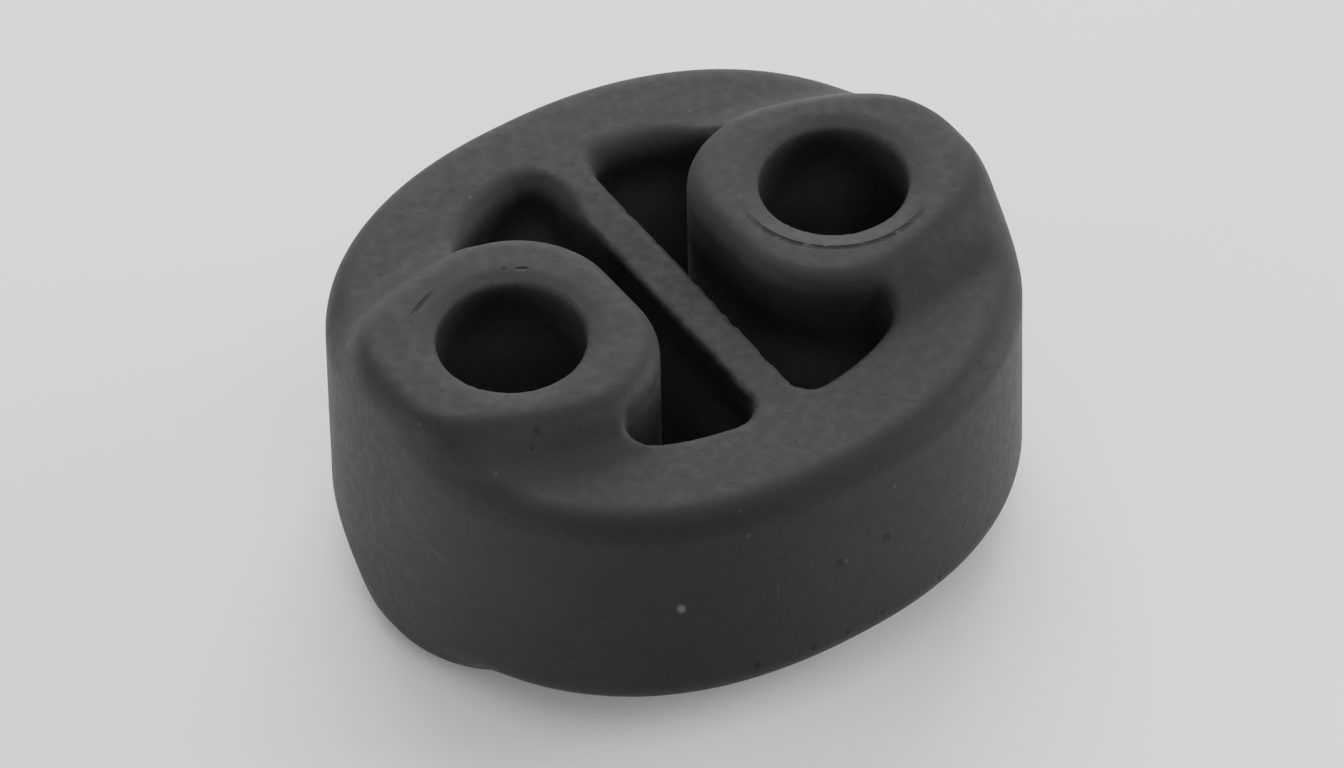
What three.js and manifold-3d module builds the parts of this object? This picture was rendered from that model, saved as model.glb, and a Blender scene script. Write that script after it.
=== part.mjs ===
// Exhaust hanger rubber: one solid moulding that carries an exhaust pipe under a car.
// Millimetres. Z runs along the two bores, X runs through both bores, Y runs along the web.
// The origin is at the middle of the lower boss faces, on which the moulding rests.

import * as THREE from 'three';
import { mergeVertices } from 'three/addons/utils/BufferGeometryUtils.js';
import Module from 'manifold-3d';

const wasm = await Module();
wasm.setup();

// Ring: the oval band that joins the bosses and the web
const RING_LENGTH = 55.6;
const RING_WIDTH = 50;
const RING_HEIGHT = 21;
const RING_SQUARENESS = 2.25; // 2 is an ellipse, more is squarer
const RING_BAND = 9; // wall from the outline to the windows
const RING_RIM_RADIUS = 3;

// Bosses: two towers with a flat towards the web and a round end that runs into the ring's wall
const BOSS_WIDTH = 22.6;
const BOSS_HEIGHT = 28;
const BOSS_FLAT_REACH = 10.8; // bore axis to the flat side that faces the web
const BOSS_END_REACH = 13.5; // bore axis to the tip of the outer end, which the ring's wall trims
const BOSS_END_SQUARENESS = 1.9; // 2 is an ellipse, less is more pointed
const BOSS_END_TAPER = 0.9; // how much the half width has lost where the end is round
const BOSS_TAPER_REACH = 4; // the half width falls between this far before and beyond the bore
const BOSS_CORNER_RADIUS = 9;
const BOSS_RIM_RADIUS = 2.3;
const BOSS_COVE_RISE = 1.5; // hollow fillet from the boss side to the ring face
const BOSS_COVE_REACH = 3.5; // how far that fillet runs out over the ring face

// Bores: the hanger rods go through these
const BORE_DIAMETER = 12;
const BORE_SPACING = 31;
const LEAD_IN_DIAMETER = 15.6;
const LEAD_IN_DEPTH = 0.7;

// Web and windows
const WEB_THICKNESS = 3.8;
const WINDOW_CORNER_RADIUS = 2.4; // where the web meets the band
const WINDOW_LOBE_RADIUS = 1.9; // where a boss meets the band
const WINDOW_LOBE_TUCK = 0.9; // how far a lobe runs on inside the width of the boss
const WINDOW_EDGE_RADIUS = 0.8; // rounding of the window mouths

// Smoothness
const OUTLINE_SIDES = 80;
const BORE_SIDES = 40;
const BOSS_END_STEPS = 10;
const ARC_STEP = Math.PI / 18;
const ROUNDING_STEPS = 3;
const SOLVE_STEPS = 50; // halvings of an angle's range, down to rounding error
const MERGE_DISTANCE = 1e-5; // vertices nearer than this are one
const CUT_PAST = 1; // how far a cutter runs past a face

const MID_HEIGHT = BOSS_HEIGHT / 2;
const RING_TOP = MID_HEIGHT + RING_HEIGHT / 2;
const RING_BOTTOM = MID_HEIGHT - RING_HEIGHT / 2;
const BOSS_CENTRE = new THREE.Vector2(BORE_SPACING / 2, 0);

// Point of the ring's outline at a polar angle, moved inwards along its normal
function outlinePoint(angle, inset = 0) {
  const halfLength = RING_LENGTH / 2;
  const halfWidth = RING_WIDTH / 2;
  const power = RING_SQUARENESS;
  const along = Math.abs(Math.cos(angle) / halfLength);
  const across = Math.abs(Math.sin(angle) / halfWidth);
  const radius = (along ** power + across ** power) ** (-1 / power);
  const point = new THREE.Vector2(Math.cos(angle), Math.sin(angle)).multiplyScalar(radius);
  const normal = new THREE.Vector2(
    (Math.sign(point.x) * along ** (power - 1)) / halfLength,
    (Math.sign(point.y) * across ** (power - 1)) / halfWidth,
  ).normalize();
  return point.addScaledVector(normal, -inset);
}

function outlinePoints() {
  const points = [];
  for (let i = 0; i < OUTLINE_SIDES; i += 1) {
    points.push(outlinePoint((i / OUTLINE_SIDES) * 2 * Math.PI));
  }
  return points;
}

// Angle between two limits at which a falling or rising measure passes through zero
function solveAngle(measure, low, high) {
  const sign = Math.sign(measure(low));
  let near = low;
  let far = high;
  for (let i = 0; i < SOLVE_STEPS; i += 1) {
    const middle = (near + far) / 2;
    if (Math.sign(measure(middle)) === sign) {
      near = middle;
    } else {
      far = middle;
    }
  }
  return (near + far) / 2;
}

// Points of a circular arc from one angle to another, ends included
function arcPoints(centre, radius, from, to) {
  const steps = Math.max(2, Math.ceil(Math.abs(to - from) / ARC_STEP));
  const points = [];
  for (let i = 0; i <= steps; i += 1) {
    const angle = from + ((to - from) * i) / steps;
    const x = centre.x + radius * Math.cos(angle);
    const y = centre.y + radius * Math.sin(angle);
    points.push(new THREE.Vector2(x, y));
  }
  return points;
}

// Adds the mirror image in the X axis, in reverse order, to points above that axis
function withMirror(points) {
  const mirrored = points.map((point) => new THREE.Vector2(point.x, -point.y)).reverse();
  return [...points, ...mirrored];
}

// Half the width of a boss at a distance beyond the bore: a gentle step down, then a squared oval
function bossHalfWidth(beyond) {
  const share = THREE.MathUtils.smoothstep(beyond, -BOSS_TAPER_REACH, BOSS_TAPER_REACH);
  const tapered = BOSS_WIDTH / 2 - BOSS_END_TAPER * share;
  const power = BOSS_END_SQUARENESS;
  const along = Math.max(0, beyond) / BOSS_END_REACH;
  return tapered * (1 - along ** power) ** (1 / power);
}

// Outline of the boss on the +X side: a round outer end, and a flat with corner arcs
function bossOutline() {
  const cornerX = BORE_SPACING / 2 - BOSS_FLAT_REACH + BOSS_CORNER_RADIUS;
  const corner = new THREE.Vector2(cornerX, BOSS_WIDTH / 2 - BOSS_CORNER_RADIUS);
  const start = cornerX - BOSS_CENTRE.x;
  const end = [];
  for (let i = 1; i < BOSS_END_STEPS; i += 1) {
    const share = Math.cos((i / BOSS_END_STEPS) * (Math.PI / 2));
    const beyond = start + (BOSS_END_REACH - start) * share;
    end.push(new THREE.Vector2(BOSS_CENTRE.x + beyond, bossHalfWidth(beyond)));
  }
  const tip = new THREE.Vector2(BOSS_CENTRE.x + BOSS_END_REACH, 0);
  const arc = arcPoints(corner, BOSS_CORNER_RADIUS, Math.PI / 2, Math.PI);
  return [tip, ...withMirror([...end, ...arc])];
}

// Outline of the window on the +X side, grown outwards by a given amount; its far side runs on
// inside the boss
function windowOutline(growth = 0) {
  const side = WEB_THICKNESS / 2;
  const cornerInset = RING_BAND + WINDOW_CORNER_RADIUS;
  const cornerAngle = solveAngle(
    (angle) => outlinePoint(angle, cornerInset).x - side - WINDOW_CORNER_RADIUS,
    Math.PI / 2,
    0,
  );
  const lobeInset = RING_BAND + WINDOW_LOBE_RADIUS;
  const lobeHeight = BOSS_WIDTH / 2 + WINDOW_LOBE_RADIUS - WINDOW_LOBE_TUCK;
  const lobeAngle = solveAngle(
    (angle) => outlinePoint(angle, lobeInset).y - lobeHeight,
    cornerAngle,
    0,
  );
  const corner = outlinePoint(cornerAngle, cornerInset);
  const lobe = outlinePoint(lobeAngle, lobeInset);
  const cornerNormal = outlinePoint(cornerAngle).sub(corner).angle();
  const lobeNormal = outlinePoint(lobeAngle).sub(lobe).angle();
  const bandSteps = Math.ceil((cornerAngle - lobeAngle) / ARC_STEP);
  const band = [];
  for (let i = 1; i < bandSteps; i += 1) {
    const angle = cornerAngle + ((lobeAngle - cornerAngle) * i) / bandSteps;
    band.push(outlinePoint(angle, RING_BAND - growth));
  }
  return withMirror([
    ...arcPoints(corner, WINDOW_CORNER_RADIUS + growth, Math.PI, cornerNormal),
    ...band,
    ...arcPoints(lobe, WINDOW_LOBE_RADIUS + growth, lobeNormal, -Math.PI / 2),
  ]);
}

// Closed three.js geometry as a solid that can be joined and cut
function toSolid(geometry) {
  const bare = geometry.clone();
  bare.deleteAttribute('normal');
  bare.deleteAttribute('uv');
  const merged = mergeVertices(bare, MERGE_DISTANCE);
  const mesh = new wasm.Mesh({
    numProp: 3,
    vertProperties: new Float32Array(merged.attributes.position.array),
    triVerts: new Uint32Array(merged.index.array),
  });
  return new wasm.Manifold(mesh);
}

function toGeometry(solid) {
  const mesh = solid.getMesh();
  const geometry = new THREE.BufferGeometry();
  geometry.setAttribute('position', new THREE.BufferAttribute(mesh.vertProperties, 3));
  geometry.setIndex(new THREE.BufferAttribute(mesh.triVerts, 1));
  geometry.computeVertexNormals();
  return geometry;
}

// Slab of a flat outline between two heights; a positive rounding rounds its rims, a negative
// one flares its mouths, which leaves a rounded edge on what it cuts; rise is the height of that
// rounding where it isn't the same as its width
function slab(points, bottom, top, rounding, rise = Math.abs(rounding)) {
  const geometry = new THREE.ExtrudeGeometry(new THREE.Shape(points), {
    depth: top - bottom - 2 * rise,
    bevelEnabled: rounding !== 0,
    bevelThickness: rise,
    bevelSize: rounding,
    bevelOffset: -rounding,
    bevelSegments: ROUNDING_STEPS,
    steps: 1,
  });
  geometry.translate(0, 0, bottom + rise);
  return geometry;
}

// Solid of revolution about the axis of the bore on the +X side
function turned(profile) {
  const geometry = new THREE.LatheGeometry(profile, BORE_SIDES);
  geometry.rotateX(Math.PI / 2);
  geometry.translate(BOSS_CENTRE.x, BOSS_CENTRE.y, 0);
  return geometry;
}

function ring() {
  return toSolid(slab(outlinePoints(), RING_BOTTOM, RING_TOP, RING_RIM_RADIUS));
}

// Foot of a boss above the ring face: its lower flare is the hollow fillet that meets that face,
// and its upper flare lies above the room that it is trimmed to
function upperFoot() {
  const top = RING_TOP + 2 * BOSS_COVE_RISE + CUT_PAST;
  return toSolid(slab(bossOutline(), RING_TOP, top, -BOSS_COVE_REACH, BOSS_COVE_RISE));
}

// Room for the feet: the ring's outline, taller by the fillet at both faces
function footRoom() {
  const bottom = RING_BOTTOM - BOSS_COVE_RISE;
  const top = RING_TOP + BOSS_COVE_RISE;
  return toSolid(slab(outlinePoints(), bottom, top, RING_RIM_RADIUS + BOSS_COVE_RISE));
}

// Room for the bosses, whose outer ends stop at the ring's wall
function bossRoom() {
  return toSolid(slab(outlinePoints(), 0, BOSS_HEIGHT, BOSS_RIM_RADIUS));
}

function boss() {
  return toSolid(slab(bossOutline(), 0, BOSS_HEIGHT, BOSS_RIM_RADIUS));
}

// Window cutter with flared mouths at the ring faces, and straight shafts beyond them
function windowCutter() {
  const cutter = toSolid(slab(windowOutline(), RING_BOTTOM, RING_TOP, -WINDOW_EDGE_RADIUS));
  const mouth = windowOutline(WINDOW_EDGE_RADIUS);
  const upper = toSolid(slab(mouth, RING_TOP, BOSS_HEIGHT + CUT_PAST, 0));
  const lower = toSolid(slab(mouth, -CUT_PAST, RING_BOTTOM, 0));
  return cutter.add(upper).add(lower);
}

function boreCutter() {
  const leadIn = LEAD_IN_DIAMETER / 2;
  const bore = BORE_DIAMETER / 2;
  const profile = [
    new THREE.Vector2(0, -CUT_PAST),
    new THREE.Vector2(leadIn, -CUT_PAST),
    new THREE.Vector2(leadIn, 0),
    new THREE.Vector2(bore, LEAD_IN_DEPTH),
    new THREE.Vector2(bore, BOSS_HEIGHT - LEAD_IN_DEPTH),
    new THREE.Vector2(leadIn, BOSS_HEIGHT),
    new THREE.Vector2(leadIn, BOSS_HEIGHT + CUT_PAST),
    new THREE.Vector2(0, BOSS_HEIGHT + CUT_PAST),
  ];
  return toSolid(turned(profile));
}

// Both copies of a solid that is made on the +X side, as one
function bothSides(solid) {
  return solid.add(solid.rotate([0, 0, 180]));
}

// Adds the image of a solid below mid-height, turned about the line through both bores
function bothFaces(solid) {
  const turnedOver = solid.rotate([180, 0, 0]).translate([0, 0, 2 * MID_HEIGHT]);
  return solid.add(turnedOver);
}

function hangerSolid() {
  const feet = bothSides(bothFaces(upperFoot())).intersect(footRoom());
  const bosses = bothSides(boss()).intersect(bossRoom());
  const band = ring().add(feet).subtract(bothSides(windowCutter()));
  return band.add(bosses).subtract(bothSides(boreCutter()));
}

const rubber = new THREE.MeshStandardMaterial({ color: 0x2b2a2b, roughness: 0.72, metalness: 0 });

const hanger = new THREE.Mesh(toGeometry(hangerSolid()), rubber);
hanger.name = 'hanger_rubber';

const part = new THREE.Group();
part.add(hanger);

export default part;
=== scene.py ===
# %% [markdown]
# # An exhaust hanger rubber
# The object is one moulding of black rubber, about as big as an egg cup. An exhaust pipe hangs
# from it: one steel rod comes from the car and goes through one bore, the other rod comes from the
# pipe and goes through the other. The oval band, the web and the two bosses stretch between them.
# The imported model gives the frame. It is loaded first, and its box is kept, because nothing that
# is made here may be larger.

# %% Load the frame
import math

import bmesh
import bpy
from mathutils import Matrix, Vector


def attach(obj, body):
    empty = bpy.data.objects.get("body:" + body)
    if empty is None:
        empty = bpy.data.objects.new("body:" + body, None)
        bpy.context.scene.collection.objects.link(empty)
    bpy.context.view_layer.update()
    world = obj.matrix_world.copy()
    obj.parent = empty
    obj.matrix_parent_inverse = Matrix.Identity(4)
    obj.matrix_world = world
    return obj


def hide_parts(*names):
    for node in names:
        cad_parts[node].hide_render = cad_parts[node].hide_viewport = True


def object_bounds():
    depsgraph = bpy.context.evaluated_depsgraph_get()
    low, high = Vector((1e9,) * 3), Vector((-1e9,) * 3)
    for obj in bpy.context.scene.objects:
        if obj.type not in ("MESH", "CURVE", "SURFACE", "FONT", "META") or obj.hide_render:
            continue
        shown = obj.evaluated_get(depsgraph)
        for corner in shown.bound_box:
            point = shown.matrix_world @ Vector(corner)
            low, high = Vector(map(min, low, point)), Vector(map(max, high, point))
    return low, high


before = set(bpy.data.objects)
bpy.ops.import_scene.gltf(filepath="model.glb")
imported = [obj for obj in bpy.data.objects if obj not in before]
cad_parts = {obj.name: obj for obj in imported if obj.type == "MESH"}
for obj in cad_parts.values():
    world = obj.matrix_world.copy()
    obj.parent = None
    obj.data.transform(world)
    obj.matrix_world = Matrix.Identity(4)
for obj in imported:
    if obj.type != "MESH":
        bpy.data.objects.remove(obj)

cad_box = [list(corner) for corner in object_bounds()]
print("CAD box in metres:", cad_box)

# %% [markdown]
# ## The camera
# The photograph was taken from above, looking down at about 45 degrees, from far away with a long
# lens, so parallel edges stay nearly parallel. A camera could be placed by eye, but small errors
# show at once in an object with two round bores. Here it stands where the picture's bores, web
# and outline say: the turn, the tilt, the roll, and how many pixels a millimetre takes.

# %% Name what the picture says
MM = 0.001
IMAGE_WIDTH, IMAGE_HEIGHT = 1344, 768
FOCAL_PIXELS = 13733
PIXELS_PER_MM = 12.473
VIEW_AZIMUTH = math.radians(-33.48)
VIEW_ELEVATION = math.radians(44.61)
VIEW_ROLL = math.radians(1.20)
MIDDLE_AT = (675.7, 381.2)  # where the object's middle is seen, in pixels
SENSOR_WIDTH = 36  # mm
NEAREST, FARTHEST = 0.01, 20  # what the camera can see, in metres
print("the tilt is", round(math.degrees(VIEW_ELEVATION), 1), "degrees")

# %% Work out the view
low, high = (Vector(corner) for corner in cad_box)
middle = (low + high) / 2
level_out = math.cos(VIEW_ELEVATION)
backward = Vector((math.sin(VIEW_AZIMUTH) * level_out, -math.cos(VIEW_AZIMUTH) * level_out,
                   math.sin(VIEW_ELEVATION)))
rightward = Vector((math.cos(VIEW_AZIMUTH), math.sin(VIEW_AZIMUTH), 0))
upward = backward.cross(rightward)
turned = Matrix((rightward, upward, backward)).transposed() @ Matrix.Rotation(-VIEW_ROLL, 3, "Z")
distance = FOCAL_PIXELS / PIXELS_PER_MM * MM
seen = Vector(((MIDDLE_AT[0] - IMAGE_WIDTH / 2) / FOCAL_PIXELS,
               (IMAGE_HEIGHT / 2 - MIDDLE_AT[1]) / FOCAL_PIXELS, -1)) * distance
print("the camera is", round(distance, 3), "m away")

# %% Place the camera
lens = bpy.data.cameras.new("camera")
lens.sensor_width = SENSOR_WIDTH
lens.lens = SENSOR_WIDTH * FOCAL_PIXELS / IMAGE_WIDTH
lens.clip_start, lens.clip_end = NEAREST, FARTHEST
camera = bpy.data.objects.new("camera", lens)
camera.matrix_world = Matrix.Translation(middle - turned @ seen) @ turned.to_4x4()
bpy.context.scene.collection.objects.link(camera)
bpy.context.scene.camera = camera
print("camera at", [round(v, 4) for v in camera.location], "lens", round(lens.lens, 1), "mm")

# %% [markdown]
# ## Floor and light
# The rubber lies on a plain pale surface. The photograph has hardly a shadow, so its light came
# from large soft sources all round. The strongest hangs behind the rubber: its top faces and the
# slopes that look away from the camera are the brightest, and the wall that faces the camera is
# the darkest. One lamp above, two low ones at the sides and a weak one in front do the rest. One
# lamp alone was tried first, and it left the sides too dark.

# %% Lay the floor
FLOOR_REACH = 3.0  # metres from the middle to an edge
FLOOR_GREY = 0.90
FLOOR_ROUGHNESS = 0.9
FLOOR_SHINE = 0.1


def sheet_mesh(name, reach):
    """One flat square face on Z = 0."""
    shape = bmesh.new()
    corners = [(-reach, -reach, 0), (reach, -reach, 0), (reach, reach, 0), (-reach, reach, 0)]
    shape.faces.new([shape.verts.new(corner) for corner in corners])
    mesh = bpy.data.meshes.new(name)
    shape.to_mesh(mesh)
    shape.free()
    return mesh


floor = bpy.data.objects.new("floor", sheet_mesh("floor", FLOOR_REACH))
bpy.context.scene.collection.objects.link(floor)
paint = bpy.data.materials.new("floor_paint")
paint.use_nodes = True
surface = paint.node_tree.nodes["Principled BSDF"]
surface.inputs["Base Color"].default_value = (FLOOR_GREY, FLOOR_GREY, FLOOR_GREY, 1)
surface.inputs["Roughness"].default_value = FLOOR_ROUGHNESS
surface.inputs["Specular IOR Level"].default_value = FLOOR_SHINE
floor.data.materials.append(paint)
print("floor:", 2 * FLOOR_REACH, "m square")

# %% Hang the soft lights
SOFT_LIGHTS = {  # place and side of the square in metres, power in watts
    "light_behind": ((0.30, 0.46, 0.42), 0.60, 7.8),
    "light_above": ((-0.05, -0.05, 0.80), 0.80, 3.1),
    "light_left": ((-0.62, 0.16, 0.10), 0.35, 3.4),
    "light_right": ((0.62, -0.26, 0.20), 0.35, 5.1),
    "light_front": ((-0.18, -0.50, 0.56), 0.40, 0.85),
}
WORLD_GREY = 0.9
WORLD_STRENGTH = 0.24

for name, (place, side, power) in SOFT_LIGHTS.items():
    lamp = bpy.data.lights.new(name, "AREA")
    lamp.size = side
    lamp.energy = power
    holder = bpy.data.objects.new(name, lamp)
    aim = (middle - Vector(place)).to_track_quat("-Z", "Y")
    holder.matrix_world = Matrix.Translation(place) @ aim.to_matrix().to_4x4()
    bpy.context.scene.collection.objects.link(holder)
world = bpy.data.worlds.new("studio")
bpy.context.scene.world = world
world.use_nodes = True
sky = world.node_tree.nodes["Background"]
sky.inputs["Color"].default_value = (WORLD_GREY, WORLD_GREY, WORLD_GREY, 1)
sky.inputs["Strength"].default_value = WORLD_STRENGTH
print("lights:", ", ".join(SOFT_LIGHTS))

# %% [markdown]
# ## Sums as nodes
# The moulding has one rule: a point is rubber when it is inside the band or a boss and outside the
# windows and the bores, and every edge where two of these meet is rounded. Such a rule can be
# written as a distance, a number that is negative in the rubber, zero on its surface and positive
# outside. A Geometry Nodes tree works it out at every point, but a tree of hundreds of nodes is
# slow to lay by hand. The small class below lets plain Python sums lay the nodes.

# %% A number that nodes work out
class Term:
    """The number that comes out of a socket; sums with it add Math nodes to the same tree."""

    def __init__(self, tree, socket):
        self.tree = tree
        self.socket = socket

    def math(self, operation, *others):
        node = self.tree.nodes.new("ShaderNodeMath")
        node.operation = operation
        for slot, value in zip(node.inputs, (self, *others)):
            feed(self.tree, slot, value)
        return Term(self.tree, node.outputs[0])

    def __add__(self, other):
        return self.math("ADD", other)

    def __sub__(self, other):
        return self.math("SUBTRACT", other)

    def __mul__(self, other):
        return self.math("MULTIPLY", other)

    def __truediv__(self, other):
        return self.math("DIVIDE", other)

    def __pow__(self, other):
        return self.math("POWER", other)

    def __rsub__(self, other):
        return (self * -1) + other

    def __rtruediv__(self, other):
        return self ** -1.0 * other

    def __neg__(self):
        return self * -1

    def __abs__(self):
        return self.math("ABSOLUTE")

    __radd__ = __add__
    __rmul__ = __mul__


def feed(tree, slot, value):
    """Gives a socket a term or a plain number."""
    if isinstance(value, Term):
        tree.links.new(value.socket, slot)
    else:
        slot.default_value = value


# %% Lengths, blends and choices
def greatest(first, other):
    return first.math("MAXIMUM", other)


def least(first, other):
    return first.math("MINIMUM", other)


def vector_of(tree, x, y, z):
    """Three numbers as one vector."""
    node = tree.nodes.new("ShaderNodeCombineXYZ")
    for slot, value in zip(node.inputs, (x, y, z)):
        feed(tree, slot, value)
    return Term(tree, node.outputs[0])


def vector_math(operation, first, *others):
    """A sum with vectors; the caller picks which output it wants."""
    node = first.tree.nodes.new("ShaderNodeVectorMath")
    node.operation = operation
    slots = [slot for slot in node.inputs if slot.name != "Scale"]
    for slot, value in zip(slots, (first, *others)):
        feed(first.tree, slot, value)
    return node


def in_parts(vector):
    """The x, y and z of a vector, as three terms."""
    node = vector.tree.nodes.new("ShaderNodeSeparateXYZ")
    feed(vector.tree, node.inputs[0], vector)
    return [Term(vector.tree, slot) for slot in node.outputs]


def hypot(a, b):
    """Length of the long side of a right-angled triangle."""
    node = vector_math("LENGTH", vector_of(a.tree, a, b, 0))
    return Term(a.tree, node.outputs["Value"])


def ease(value, start, end, low=0.0, high=1.0):
    """Goes smoothly from low to high as value goes from start to end."""
    node = value.tree.nodes.new("ShaderNodeMapRange")
    node.interpolation_type = "SMOOTHSTEP"
    for name, given in (("Value", value), ("From Min", start), ("From Max", end),
                        ("To Min", low), ("To Max", high)):
        feed(value.tree, node.inputs[name], given)
    return Term(value.tree, node.outputs[0])


def choose(value, above_zero, otherwise):
    """above_zero where value is positive, otherwise elsewhere."""
    share = value.math("GREATER_THAN", 0.0)
    return above_zero * share + otherwise * (1 - share)


# %% [markdown]
# ## Meeting and joining
# Where two walls meet at an outer edge the mould leaves a small radius, and where a boss stands on
# the band it leaves a hollow one. Both are one line with distances: the plain answer is the
# greater or the lesser of the two, and a quarter circle takes over near the edge.

# %% Rounded edges and hollow corners
def meet(a, b, radius):
    """What is inside both a and b, with its outer edge rounded."""
    plain = least(greatest(a, b), -radius)
    return plain + hypot(greatest(a + radius, 0.0), greatest(b + radius, 0.0))


def join(a, b, radius):
    """What is inside a or b, with its inner corner filled."""
    plain = greatest(least(a, b), radius)
    return plain - hypot(greatest(radius - a, 0.0), greatest(radius - b, 0.0))


# %% A squared oval
OFF_AXIS = 0.05  # mm; a power of zero has no slope, so no point counts as nearer an axis


def oval(x, y, half_length, half_width, power):
    """Distance from a squared oval: its own measure, divided by how fast that grows."""
    x = greatest(abs(x), OFF_AXIS)
    y = greatest(abs(y), OFF_AXIS)
    along = x / half_length
    across = y / half_width
    measure = (along ** power + across ** power) ** (1 / power)
    slope = hypot(along ** (power - 1) / half_length, across ** (power - 1) / half_width)
    return (measure - 1) * measure ** (power - 1) / slope


# %% [markdown]
# ## The sizes
# Every size of the moulding is a named input of the tree, in millimetres. The web leans a little,
# as it does in the photograph: a thin web is pulled when the hot rubber leaves the mould. The
# edges of the web are crisp, and the far edges of the windows are softer. The far corner of the
# left window is soft right up to the web, and it is pulled outwards a little.

# %% Name the sizes
SIZES = {
    "Ring length": 55.6,
    "Ring width": 50.0,
    "Ring height": 21.0,
    "Ring squareness": 2.25,
    "Ring rim radius": 2.5,
    "Ring low rim radius": 3.2,
    "Ring band": 9.0,
    "Boss width": 22.6,
    "Boss height": 28.0,
    "Boss flat reach": 10.8,
    "Boss taper": 0.9,
    "Boss end reach": 13.5,
    "Boss end turn": 0.06,
    "Boss corner radius": 9.0,
    "Boss rim radius": 1.9,
    "Boss hill radius": 2.0,
    "Boss end radius": 2.4,
    "Boss shoulder radius": 2.3,
    "Boss low rim radius": 4.5,
    "Left near cove radius": 3.6,
    "Right near cove radius": 3.4,
    "Left wide cove radius": 4.6,
    "Right wide cove radius": 4.4,
    "Bore spacing": 31.0,
    "Bore diameter": 12.0,
    "Bore edge radius": 0.35,
    "Lead-in diameter": 15.6,
    "Lead-in depth": 0.32,
    "Web thickness": 3.8,
    "Web lean": 0.0227,
    "Window squareness": 2.30,
    "Window corner radius": 2.4,
    "Window lobe radius": 3.0,
    "Far corner pull": 1.1,
    "Crisp edge radius": 0.4,
    "Soft edge radius": 2.2,
    "Waviness": 0.07,
    "Ragged bite": 0.20,
    "Seed": 3.0,
}
print(len(SIZES), "named sizes")


# %% Start a tree with the sizes as inputs
def add_sizes(tree):
    for name, value in SIZES.items():
        slot = tree.interface.new_socket(name, in_out="INPUT", socket_type="NodeSocketFloat")
        slot.default_value = value


def sizes_from(tree, node):
    return {name: Term(tree, node.outputs[name]) for name in SIZES}


# %% [markdown]
# ## The rule, piece by piece
# Seen from above, a boss has a flat side towards the web, round corners, and a round end that runs
# into the outer wall. The band is a squared oval. The height is measured from the middle plane, so
# both faces are alike, apart from the outer rims, which are rounder below. Radii change along the
# moulding, so each change has a named stretch: where it starts and where it is complete.

# %% Outline of a boss
BOSS_TAPERS = (-4.0, 4.0)  # mm out from the bore's middle
END_SQUARENESS = 1.9  # 2 would be an ellipse


def boss_outline(out, side, s):
    """Distance from a boss in plan: out is away from the web, side is along it."""
    half_width = s["Boss width"] / 2 - ease(out, *BOSS_TAPERS) * s["Boss taper"]
    corner = s["Boss corner radius"]
    over = -out - s["Boss flat reach"] + corner
    beside = abs(side) - half_width + corner
    round_box = hypot(greatest(over, 0.0), greatest(beside, 0.0))
    box = round_box + least(greatest(over, beside), 0.0) - corner
    end = oval(out, side, s["Boss end reach"], half_width, END_SQUARENESS)
    return choose(out, end, box)


# %% Where the radii change, in millimetres
LEFT_TO_RIGHT = (-10.0, 10.0)  # along x
FLAT_TO_HILL = (-9.0, -4.0)  # out from the bore's middle, as are the next three
HILL_TO_END = (0.0, 9.0)
COVE_WIDENS = (-8.0, 3.0)
COVE_WIDE_OUTSIDE = (3.0, 12.0)
COVE_WIDE_BEHIND = (-3.0, 5.0)  # along y
RIM_TO_SHOULDER = (10.0, 4.0)  # away from y = 0
BOSS_TO_RING_RIM = (13.5, 11.0)  # from the middle plane
LOWER_TO_UPPER = (8.0, 13.0)  # height over the floor


def top_radius(out, s):
    """Radius round a boss's top: crisp at the flat side, softer on the hill and at the end."""
    hill = s["Boss hill radius"]
    near_web = ease(out, *FLAT_TO_HILL, s["Boss rim radius"], hill)
    return near_web + ease(out, *HILL_TO_END) * (s["Boss end radius"] - hill)


def cove_radius(x, y, out, s):
    """Radius of the hollow at a boss's foot: narrow in front, wide behind and at the end."""
    near = ease(x, *LEFT_TO_RIGHT, s["Left near cove radius"], s["Right near cove radius"])
    behind = ease(out, *COVE_WIDENS) * ease(y, *COVE_WIDE_BEHIND)
    share = greatest(behind, ease(out, *COVE_WIDE_OUTSIDE))
    wide = ease(x, *LEFT_TO_RIGHT, s["Left wide cove radius"], s["Right wide cove radius"])
    return near + share * (wide - near)


def rim_radius(y, z, level, s):
    """Radius of the outer rim, which the ends of the bosses share."""
    upper = ease(abs(y), *RIM_TO_SHOULDER, s["Ring rim radius"], s["Boss shoulder radius"])
    lower = ease(level, *BOSS_TO_RING_RIM, s["Boss low rim radius"], s["Ring low rim radius"])
    return ease(z, *LOWER_TO_UPPER, lower, upper)


# %% Band and bosses
def body_of(x, y, z, level, s):
    """The band with both bosses, before anything is cut out; and the bosses alone."""
    bore_at = s["Bore spacing"] / 2
    out = abs(x) - bore_at
    from_bore = hypot(out, y)
    beyond = x - greatest(least(x, bore_at), -bore_at)
    side = y + beyond * s["Boss end turn"]
    wall = oval(x, y, s["Ring length"] / 2, s["Ring width"] / 2, s["Ring squareness"])
    plan = boss_outline(out, side, s)
    dish = ease(from_bore, s["Bore diameter"] / 2, s["Lead-in diameter"] / 2,
                s["Lead-in depth"], 0.0)
    boss_top = level - s["Boss height"] / 2 + dish
    boss = meet(plan, boss_top, top_radius(out, s))
    raised = join(level - s["Ring height"] / 2, boss, cove_radius(x, y, out, s))
    hill = greatest(raised, boss_top)
    rim = rim_radius(y, z, level, s)
    return meet(hill, wall, rim), meet(boss, wall, rim), plan, from_bore


# %% [markdown]
# A window is bounded by the web, the inside of the band and the boss. Its far side runs on a
# little inside the boss, and the boss is put back afterwards, so the two faces never lie in the
# same place. Small bites along the web's edges are where the flash was torn off.

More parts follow.
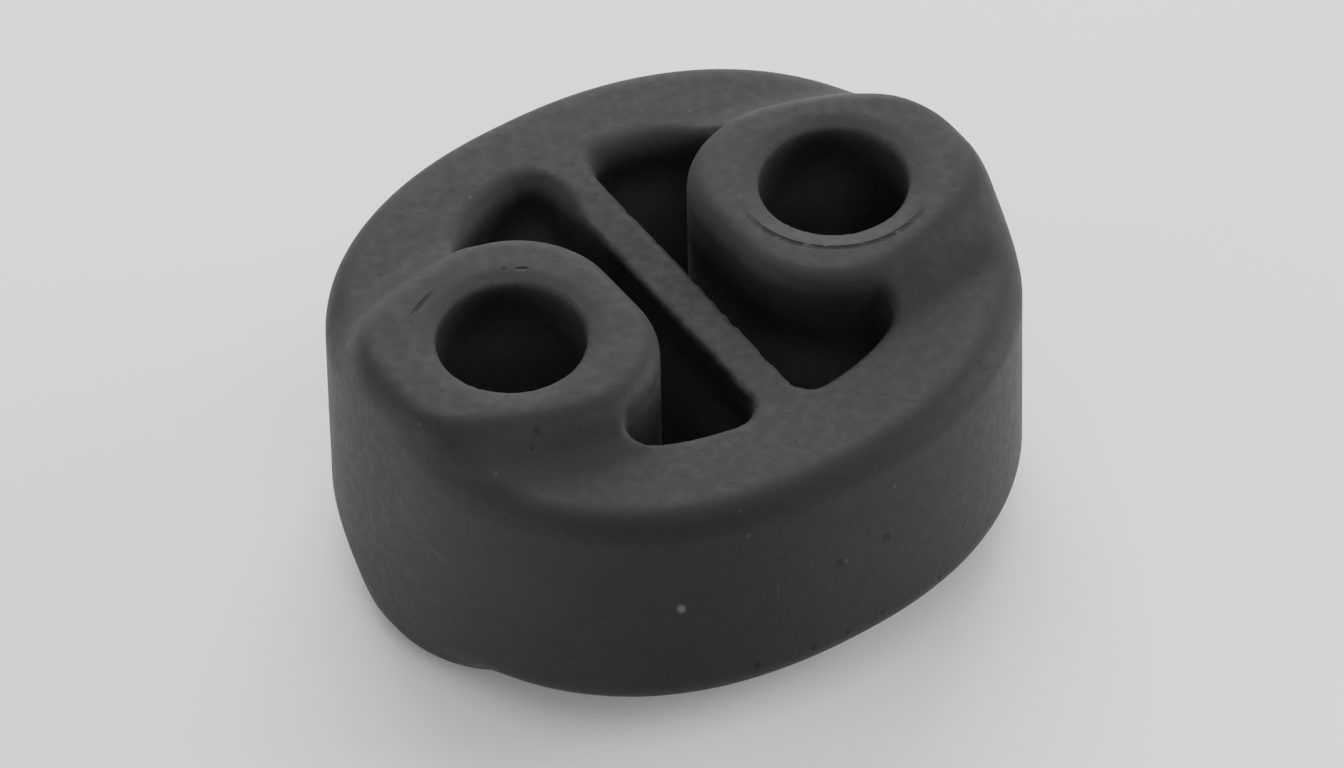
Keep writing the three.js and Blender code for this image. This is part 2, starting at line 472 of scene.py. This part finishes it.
# %% A cloudy number
def noise(point, scale, seed, detail=1.0):
    """A number that wanders about a half, scale times in a millimetre."""
    node = point.tree.nodes.new("ShaderNodeTexNoise")
    node.noise_dimensions = "4D"
    feed(point.tree, node.inputs["Vector"], point)
    feed(point.tree, node.inputs["W"], seed)
    node.inputs["Scale"].default_value = scale
    node.inputs["Detail"].default_value = detail
    return Term(point.tree, node.outputs[0])


# %% Where the windows change, in millimetres
TUCK = 0.25  # how far the window's cut runs on inside a boss
FAR_HALF = (4.0, 12.0)  # along y
LEFT_CORNER = (9.5, 14.0)
PULL_FROM_BOSS = (-13.0, -5.0)  # along x, as are the next two
PULL_TO_WEB = (1.5, -1.5)
LEFT_OF_WEB = (1.0, -1.0)
WEB_TO_BAND = (1.9, 3.4)  # away from x = 0, as are the next two
BOSS_TO_BAND = (14.0, 8.0)
BITTEN_SIDES = (2.2, 3.4)
BITTEN_LEVEL = (9.0, 10.2)  # from the middle plane
BITES_PER_MM = 0.9
BITE_RANGE = (0.45, 0.70)  # of the cloudy number
CORNER_SOFTNESS = 0.8  # as a share of the softest edge


# %% Windows
def window_outline(x, y, plan, s):
    """Distance from the windows in plan."""
    web = s["Web thickness"] / 2 - abs(x - y * s["Web lean"])
    pull = ease(y, *FAR_HALF) * ease(x, *PULL_FROM_BOSS) * ease(x, *PULL_TO_WEB)
    band = oval(x, y - pull * s["Far corner pull"], s["Ring length"] / 2 - s["Ring band"],
                s["Ring width"] / 2 - s["Ring band"], s["Window squareness"])
    opening = meet(web, band, s["Window corner radius"])
    return meet(opening, -(plan + TUCK), s["Window lobe radius"])


def window_of(x, y, level, plan, point, s):
    """Distance from the windows with their bites, and the radius of their edges."""
    torn = ease(noise(point, BITES_PER_MM, s["Seed"]), *BITE_RANGE) * s["Ragged bite"]
    bites = torn * (ease(abs(x), *BITTEN_SIDES, 1.0, 0.0) * ease(level, *BITTEN_LEVEL))
    far = ease(y, *FAR_HALF) * ease(abs(x), *WEB_TO_BAND)
    corner = ease(y, *LEFT_CORNER) * ease(x, *LEFT_OF_WEB) * CORNER_SOFTNESS
    softness = greatest(far, corner) * ease(abs(x), *BOSS_TO_BAND)
    edge = s["Crisp edge radius"] + softness * (s["Soft edge radius"] - s["Crisp edge radius"])
    return window_outline(x, y, plan, s) - bites, edge


# %% The whole rule
WAVES_PER_MM = 0.11
WAVE_SEED_STEP = 5  # keeps the waves from falling where the bites do


def write_rule():
    """A node group that gives the distance from the rubber's surface at a point, in mm."""
    tree = bpy.data.node_groups.new("rubber distance", "GeometryNodeTree")
    tree.interface.new_socket("Point", in_out="INPUT", socket_type="NodeSocketVector")
    add_sizes(tree)
    tree.interface.new_socket("Distance", in_out="OUTPUT", socket_type="NodeSocketFloat")
    entry = tree.nodes.new("NodeGroupInput")
    s = sizes_from(tree, entry)
    point = Term(tree, entry.outputs["Point"])
    x, y, z = in_parts(point)
    level = abs(z - s["Boss height"] / 2)
    body, bosses, plan, from_bore = body_of(x, y, z, level, s)
    opening, edge = window_of(x, y, level, plan, point, s)
    framed = least(meet(body, -opening, edge), bosses)
    bored = meet(framed, s["Bore diameter"] / 2 - from_bore, s["Bore edge radius"])
    wavy = bored + noise(point, WAVES_PER_MM, s["Seed"] + WAVE_SEED_STEP) * s["Waviness"]
    out = tree.nodes.new("NodeGroupOutput")
    feed(tree, out.inputs[0], wavy)
    return tree


rule = write_rule()
print("the rule took", len(rule.nodes), "nodes")

# %% [markdown]
# ## From the rule to a skin
# The rule could be followed with a hand-built mesh, but every fillet and blend would need its own
# rows of faces. Here the tree fills a box of small cells with the distance, and lays a skin where
# it passes through zero. The cells cut corners a little, so each point of the skin is then slid
# along the slope of the distance, twice, until it lies on the true surface.

# %% Nodes for the skin
CELL = 0.42  # mm
SPARE_CELLS = 3  # empty ones round the moulding
ABOVE_ZERO = 10.0  # added to the rule's answer, because empty cells count as nothing
PROBE = 0.02  # mm between the two points that give a slope
LEAST_STEEPNESS = 0.1  # a nearly level distance doesn't send a point far away


def ask_rule(tree, point, sizes):
    """The rule's answer at a point."""
    node = tree.nodes.new("GeometryNodeGroup")
    node.node_tree = rule
    feed(tree, node.inputs["Point"], point)
    for name, term in sizes.items():
        feed(tree, node.inputs[name], term)
    return Term(tree, node.outputs[0])


def in_mm(place):
    """A place in metres, in millimetres."""
    return Term(place.tree, vector_math("MULTIPLY", place, (1 / MM,) * 3).outputs[0])


def point_in_mm(tree):
    return in_mm(Term(tree, tree.nodes.new("GeometryNodeInputPosition").outputs[0]))


def slide(tree, mesh, sizes):
    """Moves each point down the slope of the distance by the distance that is left."""
    point = point_in_mm(tree)
    here = ask_rule(tree, point, sizes)
    slopes = []
    for axis in range(3):
        step = [PROBE if i == axis else 0.0 for i in range(3)]
        beside = Term(tree, vector_math("ADD", point, step).outputs[0])
        slopes.append((ask_rule(tree, beside, sizes) - here) / PROBE)
    steepness = slopes[0] ** 2 + slopes[1] ** 2 + slopes[2] ** 2
    share = -(here / greatest(steepness, LEAST_STEEPNESS)) * MM
    move = vector_of(tree, *[slope * share for slope in slopes])
    node = tree.nodes.new("GeometryNodeSetPosition")
    tree.links.new(mesh, node.inputs["Geometry"])
    feed(tree, node.inputs["Offset"], move)
    return node.outputs[0]


def finish_tree(tree, mesh, material):
    """Smooth shading, real geometry and the material, as the tree ends."""
    smooth = tree.nodes.new("GeometryNodeSetShadeSmooth")
    real = tree.nodes.new("GeometryNodeRealizeInstances")
    dress = tree.nodes.new("GeometryNodeSetMaterial")
    dress.inputs["Material"].default_value = material
    out = tree.nodes.new("NodeGroupOutput")
    tree.links.new(mesh, smooth.inputs[0])
    tree.links.new(smooth.outputs[0], real.inputs[0])
    tree.links.new(real.outputs[0], dress.inputs[0])
    tree.links.new(dress.outputs[0], out.inputs[0])


# %% Write the skin's tree
def fill_cells(tree, sizes, cell):
    """A box of cells, a little larger than the moulding, that hold the rule's answer."""
    spare = cell * SPARE_CELLS
    cells = tree.nodes.new("GeometryNodeVolumeCube")
    feed(tree, cells.inputs["Density"], ABOVE_ZERO - ask_rule(tree, point_in_mm(tree), sizes))
    half = [sizes["Ring length"] / 2 + spare, sizes["Ring width"] / 2 + spare]
    top = sizes["Boss height"] + spare
    feed(tree, cells.inputs["Min"], vector_of(tree, half[0] * -MM, half[1] * -MM, spare * -MM))
    feed(tree, cells.inputs["Max"], vector_of(tree, half[0] * MM, half[1] * MM, top * MM))
    spans = (half[0] * 2, half[1] * 2, top + spare)
    for name, span in zip("XYZ", spans):
        feed(tree, cells.inputs["Resolution " + name], span / cell + 1)
    return cells.outputs[0]


def write_skin(material):
    """The tree that makes the whole moulding."""
    tree = bpy.data.node_groups.new("rubber skin", "GeometryNodeTree")
    tree.interface.new_socket("Geometry", in_out="INPUT", socket_type="NodeSocketGeometry")
    tree.interface.new_socket("Cell", in_out="INPUT", socket_type="NodeSocketFloat")
    add_sizes(tree)
    tree.interface.new_socket("Geometry", in_out="OUTPUT", socket_type="NodeSocketGeometry")
    entry = tree.nodes.new("NodeGroupInput")
    sizes = sizes_from(tree, entry)
    cell = Term(tree, entry.outputs["Cell"])
    skin = tree.nodes.new("GeometryNodeVolumeToMesh")
    skin.inputs["Threshold"].default_value = ABOVE_ZERO
    tree.links.new(fill_cells(tree, sizes, cell), skin.inputs["Volume"])
    mesh = slide(tree, slide(tree, skin.outputs[0], sizes), sizes)
    finish_tree(tree, mesh, material)
    return tree


# %% [markdown]
# ## The finish
# The rubber is matt and nearly black. Carbon black gives the colour, and a faint bloom of wax
# gives it the soft grey haze. The finish varies at three scales: cloudy patches of several
# millimetres, a mottle of about one millimetre, and the fine grain that the mould's steel left.
# All of it reads Object coordinates, so it stays on the rubber from any side.

# %% Start the rubber material
RUBBER_SHINE = 0.2
BLOOM = 0.02
BLOOM_ROUGHNESS = 0.4
rubber = bpy.data.materials.new("moulded_rubber")
rubber.use_nodes = True
rubber_tree = rubber.node_tree
shader = rubber_tree.nodes["Principled BSDF"]
shader.inputs["Specular IOR Level"].default_value = RUBBER_SHINE
shader.inputs["Sheen Weight"].default_value = BLOOM
shader.inputs["Sheen Roughness"].default_value = BLOOM_ROUGHNESS
coordinates = rubber_tree.nodes.new("ShaderNodeTexCoord")
place_mm = in_mm(Term(rubber_tree, coordinates.outputs["Object"]))
x, y, z = in_parts(place_mm)
print("material:", rubber.name)

# %% Clouds, mottle and grain
CLOUDS = (0.14, 1.0, 2.0)  # how many in a millimetre, seed, detail
MOTTLE = (1.1, 2.0, 3.0)
GRAIN = (5.0, 3.0, 2.0)
clouds, mottle, grain = (noise(place_mm, *kind) for kind in (CLOUDS, MOTTLE, GRAIN))
print("clouds of", round(1 / CLOUDS[0]), "mm, and grain of", round(1 / GRAIN[0], 1), "mm")

# %% [markdown]
# The smallest dust and pits could be placed one by one, but nobody would see the difference. A
# Voronoi texture scatters points through space, and where one lies close under the skin it shows
# as a speck. The shift of the dust differs from that of the pits, so they seldom fall together.

# %% Scattered dust and pits
DUST = (5.2, 0.20, (3.0, 11.0, 5.0))  # spacing, radius and shift in millimetres
PITS = (2.2, 0.26, (17.0, 2.0, 9.0))
FULL_INSIDE = 0.5  # of the radius


def scattered(spacing, radius, shift):
    """1 in small balls about points that lie a spacing apart, more or less."""
    node = rubber_tree.nodes.new("ShaderNodeTexVoronoi")
    moved = vector_math("ADD", place_mm, shift)
    feed(rubber_tree, node.inputs["Vector"], Term(rubber_tree, moved.outputs[0]))
    node.inputs["Scale"].default_value = 1 / spacing
    from_point = Term(rubber_tree, node.outputs["Distance"]) * spacing
    return ease(from_point, radius, radius * FULL_INSIDE)


dust = scattered(*DUST)
pits = scattered(*PITS)
print("dust about", DUST[0], "mm apart, pits about", PITS[0], "mm apart")

# %% [markdown]
# Some marks are plain to see in the photograph, and each of these gets its own place: pale specks
# of dust, pits such as the row low on the near wall, two nicks on the left boss and three light
# scratches. One is a spot, or a stroke from one point to another. Each is a small long ball that
# points the way the photograph was taken. Where the skin passes through it the colour changes, so
# the mark stays in its place even if the skin lies a little higher or lower there.

# %% Places of the marks, in millimetres
BRIGHT_SPECKS = {"near wall": ((-14.6, -22.2, 15.0), 0.50)}  # middle and radius
SPECKS = {
    "under the rim": ((-9.3, -24.0, 21.6), 0.22),
    "beside a pit": ((-0.7, -25.0, 14.7), 0.22),
    "high on the wall": ((4.1, -24.8, 20.0), 0.20),
    "by the left boss": ((-23.5, -9.6, 24.9), 0.28),
    "on the web": ((1.0, 12.0, 24.5), 0.18),
    "behind the left window": ((-7.5, 18.0, 24.5), 0.20),
    "on the left boss": ((-20.9, -0.6, 28.0), 0.15),
}
HOLLOWS = {
    "beside a speck": ((-1.4, -25.0, 14.8), 0.50),
    "high pit": ((3.1, -24.9, 15.0), 0.55),
    "low pit, far right": ((8.7, -24.2, 6.6), 0.35),
    "low pit, right": ((2.7, -24.9, 6.8), 0.35),
    "low pit, middle": ((-0.8, -25.0, 6.6), 0.30),
    "low pit, left": ((-4.0, -24.9, 6.7), 0.35),
    "low pit, far left": ((-8.8, -24.1, 6.8), 0.40),
    "left boss, behind the bore": ((-11.8, 6.6, 27.9), 0.30),
    "left boss, on the slope": ((-19.4, -9.3, 27.0), 0.40),
    "right rim": ((15.6, -20.9, 23.3), 0.30),
}
NICKS = {  # from, to and half the width
    "left boss, long": ((-21.3, 6.1, 28.0), (-17.4, 7.9, 28.0), 0.24),
    "left boss, behind the bore": ((-11.2, 6.2, 27.9), (-10.0, 5.4, 27.9), 0.20),
}
SCRATCHES = {
    "near wall, upright": ((-6.9, -24.5, 15.6), (-6.9, -24.5, 13.2), 0.10),
    "left wall, across": ((-27.5, -4.8, 15.6), (-26.8, -8.0, 15.3), 0.12),
    "left wall, upright": ((-27.7, 2.5, 14.8), (-27.7, 2.4, 10.6), 0.14),
}
own_places = (BRIGHT_SPECKS, SPECKS, HOLLOWS, NICKS, SCRATCHES)
print(sum(len(table) for table in own_places), "marks with a place of their own")

# %% Spots and strokes
DEPTH = 4  # how many times deeper than wide a mark's ball is
BALL_FADES = (1.0, 0.25)  # from its skin inwards, as a share of its radius


def within(middle, along, half_length, half_width):
    """1 inside a long ball that points the way the photograph was taken, fading to its skin."""
    deep = (backward - along * backward.dot(along)).normalized()
    turn = Matrix((along, deep.cross(along), deep)).transposed().to_euler()
    node = rubber_tree.nodes.new("ShaderNodeMapping")
    node.vector_type = "TEXTURE"
    feed(rubber_tree, node.inputs["Vector"], place_mm)
    node.inputs["Location"].default_value = middle
    node.inputs["Rotation"].default_value = turn
    node.inputs["Scale"].default_value = (half_length, half_width, half_width * DEPTH)
    reach = vector_math("LENGTH", Term(rubber_tree, node.outputs[0]))
    return ease(Term(rubber_tree, reach.outputs["Value"]), *BALL_FADES)


def add_up(masks):
    total = masks[0]
    for mask in masks[1:]:
        total = total + mask
    return total


def spots(table):
    """1 in every round mark of a table."""
    return add_up([within(middle, rightward, radius, radius) for middle, radius in table.values()])


def strokes(table):
    """1 in every long mark of a table."""
    masks = []
    for start, end, half_width in table.values():
        line = Vector(end) - Vector(start)
        middle = (Vector(start) + Vector(end)) / 2
        masks.append(within(middle, line.normalized(), line.length / 2, half_width))
    return add_up(masks)


# %% Put the marks together
SPECK_STRENGTH = 0.28
DUST_STRENGTH = 0.2
SCRATCH_STRENGTH = 0.15
PIT_STRENGTH = 0.5
faint = greatest(spots(SPECKS) * SPECK_STRENGTH, dust * DUST_STRENGTH)
pale = spots(BRIGHT_SPECKS) + faint + strokes(SCRATCHES) * SCRATCH_STRENGTH
hollow = least(greatest(spots(HOLLOWS), pits * PIT_STRENGTH), 1.0)
nick = strokes(NICKS)
print("the material has", len(rubber_tree.nodes), "nodes with its marks")

# %% [markdown]
# Round the near side of the right bore a thin line shows where the mould's core pin met the face:
# a small step, given a bump, whose darkness is painted shade. The rubber inside that line is
# painted paler, a painted highlight on the lead-in slope that faces the lamps. The walls of the
# bores and
# windows are painted paler too: painted light in their shaded insides, and a painted highlight
# near the top of each bore. The web's top is a little darker. The whole moulding is painted darker
# towards the near side and paler towards the back, as painted shade of the light's fall-off. The
# near slope of the left boss is painted paler, as painted light where it catches more lamp light.

# %% The line about the right bore, with painted shade and a painted highlight
PIN_RADIUS = 8.05
PIN_LINE_FADES = (0.34, 0.10)  # from the middle of the line
PIN_SIDE = (-0.55, -0.83)  # which side of the bore has the line, in x and y
ON_PIN_SIDE = (2.5, 6.5)
ON_BOSS_TOP = (26.5, 27.0)  # height over the floor
LINE_BREAKS = (0.30, 0.50)  # of the mottle
LIP_STARTS, LIP_ENDS = (6.2, 6.6), (7.9, 7.6)  # from the bore's middle
from_right = x - SIZES["Bore spacing"] / 2
from_pin = hypot(from_right, y)
towards_line = from_right * PIN_SIDE[0] + y * PIN_SIDE[1]
near_side = ease(towards_line, *ON_PIN_SIDE) * ease(z, *ON_BOSS_TOP)
# painted highlight: the lead-in slope inside the line is painted paler on the near side
painted_lip_highlight = ease(from_pin, *LIP_STARTS) * ease(from_pin, *LIP_ENDS) * near_side
# the pin line is a real small step (bump below); its darkness is painted shade
pin_line_and_shade = ease(abs(from_pin - PIN_RADIUS), *PIN_LINE_FADES) * near_side
broken_line_and_shade = pin_line_and_shade * ease(mottle, *LINE_BREAKS)
print("the core pin's line is", 2 * PIN_RADIUS, "mm across")

# %% Painted light in the bores and windows
INTO_BORE = (6.8, 6.2)  # from the bore's middle
BORE_PAINTED_LIGHT = (12.0, 6.5)  # from the middle plane, as are the next two
WINDOW_PAINTED_LIGHT = (8.5, 3.0)
BORE_MOUTH = (12.3, 13.0)
WINDOW_PAINTED_LIGHT_STRENGTH = 1.8
OUTER_WALL = (0.80, 0.70)  # as a share of the way from the middle to the outer wall
half_length, half_width = SIZES["Ring length"] / 2, SIZES["Ring width"] / 2
outwards = hypot(x / half_length, y / half_width)
level = abs(z - SIZES["Boss height"] / 2)
from_bore = hypot(abs(x) - SIZES["Bore spacing"] / 2, y)
# painted light: the shaded insides of the bores and windows are painted paler
in_bore = ease(from_bore, *INTO_BORE)
painted_window_light = ease(level, *WINDOW_PAINTED_LIGHT, 0.0, WINDOW_PAINTED_LIGHT_STRENGTH)
painted_recess_light = in_bore * ease(level, *BORE_PAINTED_LIGHT) + (1 - in_bore) * painted_window_light
painted_recess_light = painted_recess_light * ease(outwards, *OUTER_WALL)
# painted highlight on the upper wall of each bore, just below its top
mouth = in_bore * ease(level, *BORE_MOUTH)
print("powder starts", SIZES["Boss height"] / 2 - BORE_PAINTED_LIGHT[0], "mm down a bore")

# %% The painted light on the left boss's near slope, and the web's top
SLOPE_STARTS, SLOPE_ENDS = (10.3, 11.2), (13.9, 13.0)  # from the middle plane
SLOPE_NEAR = (-6.0, -9.0)  # along y
SLOPE_LEFT = (2.0, -2.0)  # along x
WEB_SIDES, WEB_ENDS = (2.6, 1.8), (15.0, 12.0)  # away from x = 0 and from y = 0
# painted light: the left boss's near slope is painted paler, where it catches more lamp light
painted_slope_light = ease(level, *SLOPE_STARTS) * ease(level, *SLOPE_ENDS) * ease(y, *SLOPE_NEAR)
painted_slope_light = painted_slope_light * ease(x, *SLOPE_LEFT)
web_top = ease(abs(x), *WEB_SIDES) * ease(abs(y), *WEB_ENDS)
print("the web is darker up to", WEB_ENDS[0], "mm from its middle")

# %% Colours, and how to mix them
DARK_VIOLET = (0.0188, 0.0175, 0.0179)
DARK_OLIVE = (0.0176, 0.0179, 0.0163)
DUSTY = (0.0245, 0.0236, 0.0232)
PALE_MARK = (0.095, 0.092, 0.086)


def mix_colours(share, first, second):
    """From the first colour to the second, as share goes from 0 to 1."""
    node = rubber_tree.nodes.new("ShaderNodeMix")
    node.data_type = "RGBA"
    feed(rubber_tree, node.inputs[0], share)
    for slot, colour in zip((node.inputs[6], node.inputs[7]), (first, second)):
        feed(rubber_tree, slot, colour if isinstance(colour, Term) else (*colour, 1))
    return Term(rubber_tree, node.outputs[2])


# %% Colour
CLOUD_RANGE, MOTTLE_RANGE = (0.35, 0.65), (0.35, 0.80)
DUSTINESS = 0.55
# paler: painted light in bores, windows and on the left boss's slope, and painted highlights
PALER = {"painted_recess_light": 1.8, "mouth": 0.3, "painted_lip_highlight": 0.45, "slope": 0.5}
# line: the pin's small step, darkened with painted shade
DARKER = {"web": 0.25, "hollow": 0.5, "nick": 0.8, "line": 0.9}
CLOUD_LOW, CLOUD_SPAN = 0.85, 0.30
# painted shade: the moulding is painted darker towards the near side, paler towards the back
PAINTED_LIGHT_PER_MM_BACK = 0.0035
haze = mix_colours(ease(clouds, *CLOUD_RANGE), DARK_VIOLET, DARK_OLIVE)
dusty = mix_colours(ease(mottle, *MOTTLE_RANGE) * DUSTINESS, haze, DUSTY)
# tone carries painted light and shade as well as the rubber's own marks
tone = 1 + painted_recess_light * PALER["painted_recess_light"] + mouth * PALER["mouth"] + painted_lip_highlight * PALER["painted_lip_highlight"]
tone = tone * (1 - web_top * DARKER["web"])
tone = tone * (1 - hollow * DARKER["hollow"]) * (1 - nick * DARKER["nick"])
tone = tone * (1 - broken_line_and_shade * DARKER["line"]) * (CLOUD_LOW + clouds * CLOUD_SPAN)
tone = tone * (1 + y * PAINTED_LIGHT_PER_MM_BACK) * (1 + painted_slope_light * PALER["slope"])
toned = vector_math("MULTIPLY", dusty, vector_of(rubber_tree, tone, tone, tone))
shaded = Term(rubber_tree, toned.outputs[0])
colour = mix_colours(least(pale, 1.0), shaded, PALE_MARK)
rubber_tree.links.new(colour.socket, shader.inputs["Base Color"])
print("with its colour it has", len(rubber_tree.nodes), "nodes")

# %% Roughness and grain
ROUGHNESS = (0.62, 0.72)
ROUGHNESS_RANGE = (0.3, 0.7)  # of the mottle
GRAIN_ROUGHNESS = 0.10
BUMP_HEIGHT = 0.03  # mm
GRAIN_BUMP, MOTTLE_BUMP, NICK_DEPTH = 0.6, 1.4, 3  # as shares of the bump's height
roughness = ease(mottle, *ROUGHNESS_RANGE, *ROUGHNESS) + (grain - 0.5) * GRAIN_ROUGHNESS
rubber_tree.links.new(roughness.socket, shader.inputs["Roughness"])
bump = rubber_tree.nodes.new("ShaderNodeBump")
bump.inputs["Distance"].default_value = BUMP_HEIGHT * MM
bump.inputs["Strength"].default_value = 1.0
relief = grain * GRAIN_BUMP + mottle * MOTTLE_BUMP - hollow - (nick + broken_line_and_shade) * NICK_DEPTH
feed(rubber_tree, bump.inputs["Height"], relief)
rubber_tree.links.new(bump.outputs[0], shader.inputs["Normal"])
print("roughness from", ROUGHNESS[0], "to", ROUGHNESS[1])

# %% Lay the skin
host = bpy.data.objects.new("skin_host", bpy.data.meshes.new("skin_host"))
bpy.context.scene.collection.objects.link(host)
skin_tree = write_skin(rubber)
modifier = host.modifiers.new("skin", "NODES")
modifier.node_group = skin_tree
named = {slot.name: slot.identifier for slot in skin_tree.interface.items_tree
         if slot.in_out == "INPUT"}
for name, value in {**SIZES, "Cell": CELL}.items():
    modifier[named[name]] = value
graph = bpy.context.evaluated_depsgraph_get()
mesh = bpy.data.meshes.new_from_object(host.evaluated_get(graph))
host.modifiers.remove(modifier)
bpy.data.objects.remove(host)
print("skin:", len(mesh.vertices), "points,", len(mesh.polygons), "faces")


# %% Turn the skin's faces outwards
def turn_outwards(mesh):
    """Turns the faces outwards, and counts the edges that are open."""
    shape = bmesh.new()
    shape.from_mesh(mesh)
    if shape.calc_volume(signed=True) < 0:
        bmesh.ops.reverse_faces(shape, faces=shape.faces)
    open_edges = sum(1 for edge in shape.edges if len(edge.link_faces) != 2)
    triangles = sum(len(face.verts) - 2 for face in shape.faces)
    volume = shape.calc_volume(signed=True) / MM ** 3
    shape.to_mesh(mesh)
    shape.free()
    print("open edges:", open_edges, "triangles:", triangles, "volume:", round(volume), "mm3")


turn_outwards(mesh)
moulding = bpy.data.objects.new("hanger_moulding", mesh)
bpy.context.scene.collection.objects.link(moulding)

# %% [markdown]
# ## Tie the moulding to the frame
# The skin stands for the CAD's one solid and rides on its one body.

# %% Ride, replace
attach(moulding, "root")
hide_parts("hanger_rubber")
print(moulding.name, "stands for the one solid")
